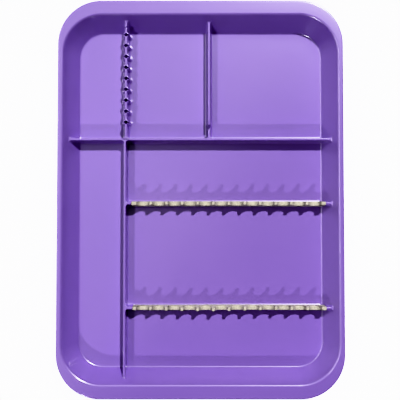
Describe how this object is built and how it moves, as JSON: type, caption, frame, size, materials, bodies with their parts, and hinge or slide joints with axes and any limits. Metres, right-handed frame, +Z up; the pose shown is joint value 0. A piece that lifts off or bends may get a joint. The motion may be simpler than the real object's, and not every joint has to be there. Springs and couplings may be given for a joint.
{
  "type": "divided dental set-up tray",
  "caption": "Shallow rectangular dental instrument tray with sloping sides, a rolled rim, moulded-in dividers, a bur-holding wall and two soft scalloped rails for instruments.",
  "frame": {"origin": "centre of the flat underside, on the surface the tray stands on", "axes": "+Z up; +Y along the tray's length, towards the end with the bur wall; +X across, towards the right ends of the instrument rails"},
  "size_m": [0.2444, 0.3398, 0.0222],
  "materials": {
    "tray_plastic": "moulded satin gloss, purple, lightly scuffed",
    "rail_rubber": "matt silicone rubber, warm light grey"
  },
  "bodies": {
    "tray": {"tray_shell": "tray_plastic", "cross_divider": "tray_plastic", "long_divider": "tray_plastic", "centre_divider": "tray_plastic", "bur_rack_wall": "tray_plastic", "upper_rack_wall": "tray_plastic", "lower_rack_wall": "tray_plastic"},
    "upper_rail": {"upper_instrument_rail": "rail_rubber"},
    "lower_rail": {"lower_instrument_rail": "rail_rubber"}
  },
  "joints": [
    {"name": "upper_rail_lift", "type": "slide", "parent": "tray", "child": "upper_rail", "axis": [0, 0, 1], "range_m": [0, 0.03]},
    {"name": "lower_rail_lift", "type": "slide", "parent": "tray", "child": "lower_rail", "axis": [0, 0, 1], "range_m": [0, 0.03]}
  ]
}
